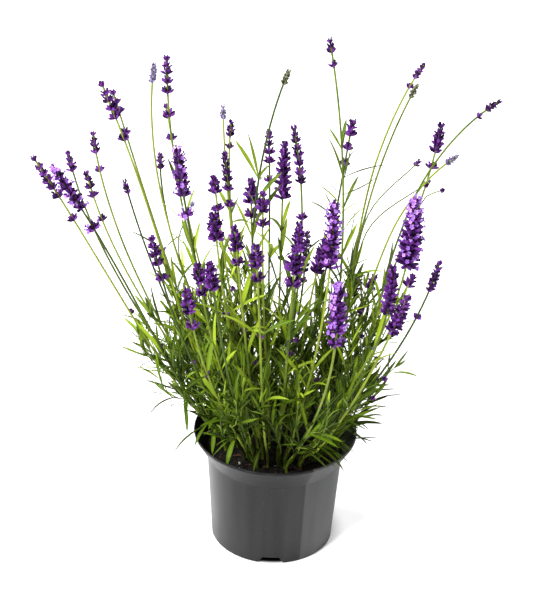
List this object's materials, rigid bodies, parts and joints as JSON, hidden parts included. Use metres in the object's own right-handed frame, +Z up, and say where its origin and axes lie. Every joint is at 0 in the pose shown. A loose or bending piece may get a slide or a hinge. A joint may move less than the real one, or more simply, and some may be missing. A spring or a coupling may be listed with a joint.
{
  "type": "potted lavender",
  "caption": "Lavender in a round plastic nursery pot: slender stalks with violet flower spikes fan out over narrow green leaves.",
  "frame": {"origin": "centre of the pot's underside, on the surface it stands on", "axes": "+Z up along the pot's axis; -Y is the side seen from the front, towards one drain notch"},
  "size_m": [0.3907, 0.3472, 0.484],
  "materials": {
    "pot_plastic": "injection-moulded dark grey polypropylene, satin, with faint upright flow streaks",
    "soil": "moist dark peat compost with bark and fibre crumbs",
    "flower_stalk": "yellow-green square stem, violet ribbed calyces with fine hair and lilac corollas",
    "leaf_green": "matt mid-green narrow leaves, paler below, with a folded midrib"
  },
  "bodies": {
    "root": {"pot": "pot_plastic", "potting_soil": "soil", "flower_stalk_01": "flower_stalk", "flower_stalk_02": "flower_stalk", "flower_stalk_03": "flower_stalk", "flower_stalk_04": "flower_stalk", "flower_stalk_05": "flower_stalk", "flower_stalk_06": "flower_stalk", "flower_stalk_07": "flower_stalk", "flower_stalk_08": "flower_stalk", "flower_stalk_09": "flower_stalk", "flower_stalk_10": "flower_stalk", "flower_stalk_11": "flower_stalk", "flower_stalk_12": "flower_stalk", "flower_stalk_13": "flower_stalk", "flower_stalk_14": "flower_stalk", "flower_stalk_15": "flower_stalk", "flower_stalk_16": "flower_stalk", "flower_stalk_17": "flower_stalk", "flower_stalk_18": "flower_stalk", "flower_stalk_19": "flower_stalk", "flower_stalk_20": "flower_stalk", "flower_stalk_21": "flower_stalk", "flower_stalk_22": "flower_stalk", "flower_stalk_23": "flower_stalk", "flower_stalk_24": "flower_stalk", "flower_stalk_25": "flower_stalk", "flower_stalk_26": "flower_stalk", "flower_stalk_27": "flower_stalk", "flower_stalk_28": "flower_stalk", "flower_stalk_29": "flower_stalk", "flower_stalk_30": "flower_stalk", "flower_stalk_31": "flower_stalk", "flower_stalk_32": "flower_stalk", "flower_stalk_33": "flower_stalk", "flower_stalk_34": "flower_stalk", "flower_stalk_35": "flower_stalk", "flower_stalk_36": "flower_stalk", "flower_stalk_37": "flower_stalk", "flower_stalk_38": "flower_stalk", "flower_stalk_39": "flower_stalk", "flower_stalk_40": "flower_stalk", "flower_stalk_41": "flower_stalk", "flower_stalk_42": "flower_stalk", "flower_stalk_43": "flower_stalk", "flower_stalk_44": "flower_stalk", "flower_stalk_45": "flower_stalk", "flower_stalk_46": "flower_stalk", "flower_stalk_47": "flower_stalk", "flower_stalk_48": "flower_stalk", "flower_stalk_49": "flower_stalk", "flower_stalk_50": "flower_stalk", "leafy_shoot_01": "leaf_green", "leafy_shoot_02": "leaf_green", "leafy_shoot_03": "leaf_green", "leafy_shoot_04": "leaf_green", "leafy_shoot_05": "leaf_green", "leafy_shoot_06": "leaf_green", "leafy_shoot_07": "leaf_green", "leafy_shoot_08": "leaf_green"}
  },
  "joints": []
}
